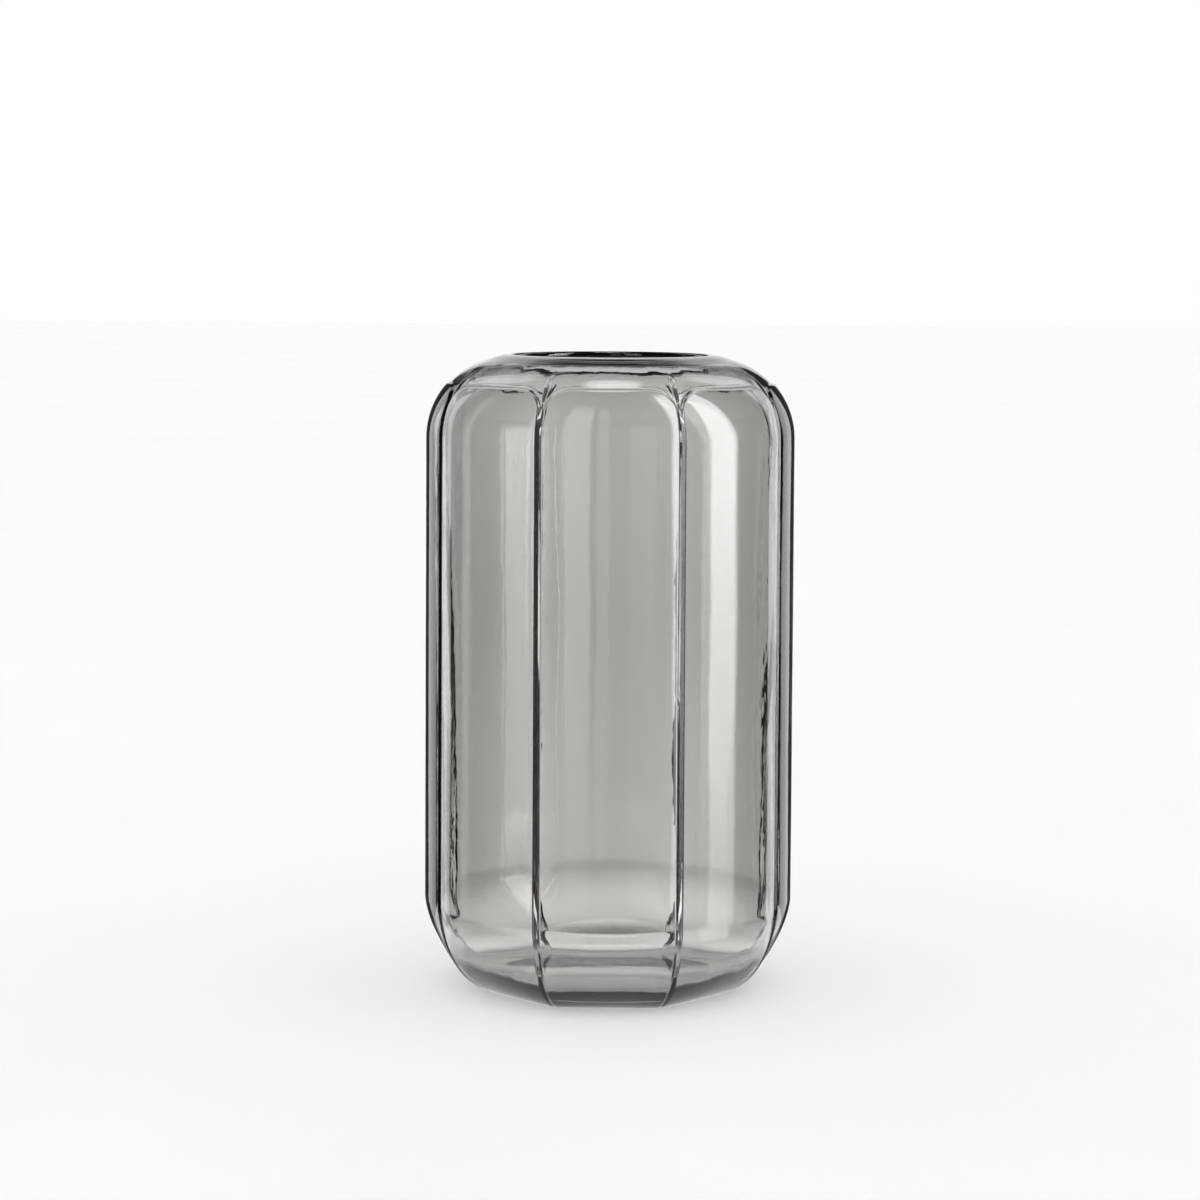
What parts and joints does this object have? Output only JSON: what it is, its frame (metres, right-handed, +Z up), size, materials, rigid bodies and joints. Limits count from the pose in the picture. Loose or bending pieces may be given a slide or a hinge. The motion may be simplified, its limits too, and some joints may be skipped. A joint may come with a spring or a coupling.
{
  "type": "glass cylinder vase",
  "caption": "Smoked glass cylinder vase for cut flowers, with pillowed upright panels, a rounded shoulder and heel, and a round mouth narrower than the body.",
  "frame": {"origin": "middle of the foot, on the surface that the vase stands on", "axes": "+Z up along the axis of the vase; -Y and +X each point out through the middle of a panel"},
  "size_m": [0.1462, 0.1462, 0.25],
  "materials": {
    "smoked_glass": "clear smoke-grey glass, tinted right through, glossy inside and out"
  },
  "bodies": {
    "root": {"glass_body": "smoked_glass"}
  },
  "joints": []
}
